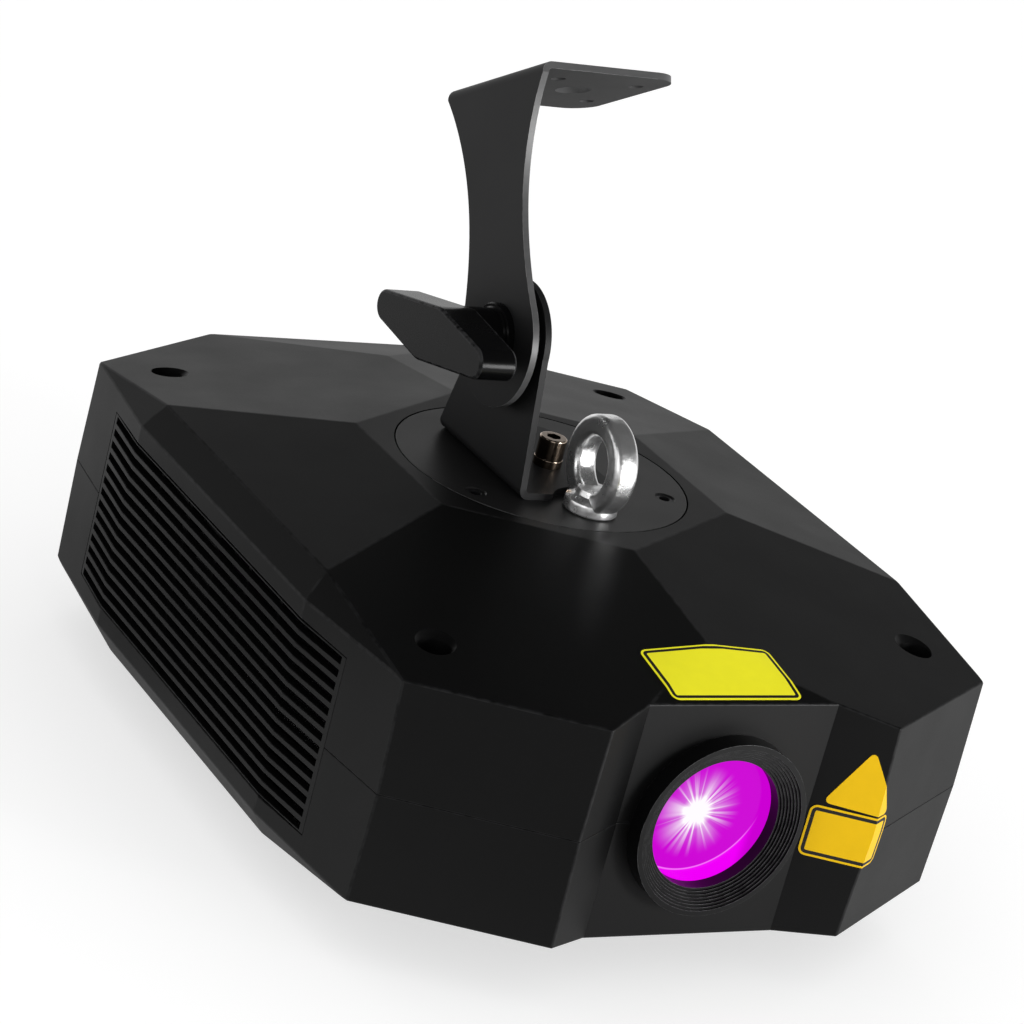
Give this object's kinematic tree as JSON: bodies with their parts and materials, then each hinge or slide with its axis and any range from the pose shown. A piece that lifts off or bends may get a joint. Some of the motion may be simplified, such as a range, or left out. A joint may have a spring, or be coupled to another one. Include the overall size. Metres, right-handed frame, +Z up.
{
  "type": "laser show projector",
  "caption": "Stage laser projector: faceted black case with side vents, recessed lens, rear connector bay, safety eye and tilting clamp bracket.",
  "frame": {"origin": "middle of the case in plan, on the surface that the rubber feet stand on", "axes": "+Z up, -Y out of the lens, +X to the right of someone who looks at the lens"},
  "size_m": [0.254, 0.3352, 0.2748],
  "materials": {
    "case_plastic": "satin moulded black, fine texture",
    "vent_plastic": "satin moulded black",
    "foot_rubber": "matt black",
    "black_steel": "black oxide",
    "disc_paint": "satin black",
    "bracket_paint": "dark grey powder coat with bare cut edges",
    "eye_chrome": "bright polished",
    "nickel_steel": "warm nickel plate",
    "zinc_steel": "zinc plate",
    "friction_fibre": "black fibre",
    "knob_plastic": "satin black",
    "lens_anodised": "black anodised",
    "lens_glass": "magenta dichroic coating",
    "gasket_rubber": "matt black",
    "fan_plastic": "satin black",
    "panel_paint": "satin black powder coat",
    "socket_metal": "black plated die casting",
    "socket_plastic": "black",
    "pin_brass": "plain",
    "switch_chrome": "bright",
    "display_plastic": "dark tinted window",
    "button_plastic": "grey",
    "circuit_board": "green lacquer",
    "plain_aluminium": "milled",
    "laser_anodised": "black anodised",
    "mirror_coat": "polished"
  },
  "bodies": {
    "chassis": {"aperture_glass": "lens_glass", "beam_mirrors": "mirror_coat", "blue_laser_module": "laser_anodised", "case_screws": "black_steel", "clamp_nut": "zinc_steel", "clamp_screw": "nickel_steel", "clamp_washers": "nickel_steel", "control_board": "circuit_board", "control_standoffs": "zinc_steel", "disc_screws": "black_steel", "display_window": "display_plastic", "dmx_input_socket": "socket_metal", "dmx_output_socket": "socket_metal", "eye_bolt_nut": "zinc_steel", "foot_screws": "zinc_steel", "friction_washer": "friction_fibre", "glass_gasket": "gasket_rubber", "glass_retainer": "lens_anodised", "green_laser_module": "laser_anodised", "heat_sink": "plain_aluminium", "interlock_socket": "socket_plastic", "key_switch": "switch_chrome", "left_fan_frame": "fan_plastic", "left_vent_grille": "vent_plastic", "lens_ring": "lens_anodised", "lens_ring_nut": "lens_anodised", "lower_bracket": "bracket_paint", "lower_shell": "case_plastic", "mirror_posts": "plain_aluminium", "optical_plate": "plain_aluminium", "panel_screws": "black_steel", "pivot_bolt": "zinc_steel", "plate_screws": "zinc_steel", "power_inlet": "socket_plastic", "power_supply": "plain_aluminium", "rear_panel": "panel_paint", "red_laser_module": "laser_anodised", "right_fan_frame": "fan_plastic", "right_vent_grille": "vent_plastic", "rubber_feet": "foot_rubber", "safety_eye_bolt": "eye_chrome", "scanner_block": "plain_aluminium", "scanner_board": "circuit_board", "scanner_standoffs": "zinc_steel", "socket_contacts": "pin_brass", "top_mounting_disc": "disc_paint", "upper_shell": "case_plastic", "x_scan_motor": "laser_anodised", "y_scan_motor": "laser_anodised"},
    "tilt_arm": {"upper_bracket": "bracket_paint"},
    "knob": {"tilt_knob": "knob_plastic"},
    "left_rotor": {"left_fan_rotor": "fan_plastic"},
    "right_rotor": {"right_fan_rotor": "fan_plastic"},
    "x_scanner": {"x_scan_mirror": "mirror_coat"},
    "y_scanner": {"y_scan_mirror": "mirror_coat"},
    "key": {"switch_key": "switch_chrome"},
    "button_1": {"menu_button_1": "button_plastic"},
    "button_2": {"menu_button_2": "button_plastic"},
    "button_3": {"menu_button_3": "button_plastic"},
    "button_4": {"menu_button_4": "button_plastic"}
  },
  "joints": [
    {"name": "bracket_tilt", "type": "hinge", "parent": "chassis", "child": "tilt_arm", "pos_m": [-0.032, 0, 0.176], "axis": [1, 0, 0], "range_deg": [-61.5, 118.5]},
    {"name": "knob_turn", "type": "hinge", "parent": "chassis", "child": "knob", "pos_m": [-0.045, 0, 0.176], "axis": [1, 0, 0], "range_deg": [0, 270]},
    {"name": "left_fan_spin", "type": "hinge", "parent": "chassis", "child": "left_rotor", "pos_m": [-0.1105, 0.026, 0.065], "axis": [1, 0, 0], "continuous": true},
    {"name": "right_fan_spin", "type": "hinge", "parent": "chassis", "child": "right_rotor", "pos_m": [0.1105, 0.026, 0.065], "axis": [1, 0, 0], "continuous": true},
    {"name": "x_scan", "type": "hinge", "parent": "chassis", "child": "x_scanner", "pos_m": [0, -0.128, 0.052], "axis": [0, 1, 0], "range_deg": [-15, 15]},
    {"name": "y_scan", "type": "hinge", "parent": "chassis", "child": "y_scanner", "pos_m": [0, -0.128, 0.065], "axis": [1, 0, 0], "range_deg": [-15, 15]},
    {"name": "key_turn", "type": "hinge", "parent": "chassis", "child": "key", "pos_m": [-0.034, 0.155, 0.081], "axis": [0, -1, 0], "range_deg": [0, 90]},
    {"name": "menu_button_1_press", "type": "slide", "parent": "chassis", "child": "button_1", "axis": [0, -1, 0], "range_m": [0, 0.0008], "stiffness_N_per_m": 400},
    {"name": "menu_button_2_press", "type": "slide", "parent": "chassis", "child": "button_2", "axis": [0, -1, 0], "range_m": [0, 0.0008], "stiffness_N_per_m": 400},
    {"name": "menu_button_3_press", "type": "slide", "parent": "chassis", "child": "button_3", "axis": [0, -1, 0], "range_m": [0, 0.0008], "stiffness_N_per_m": 400},
    {"name": "menu_button_4_press", "type": "slide", "parent": "chassis", "child": "button_4", "axis": [0, -1, 0], "range_m": [0, 0.0008], "stiffness_N_per_m": 400}
  ]
}
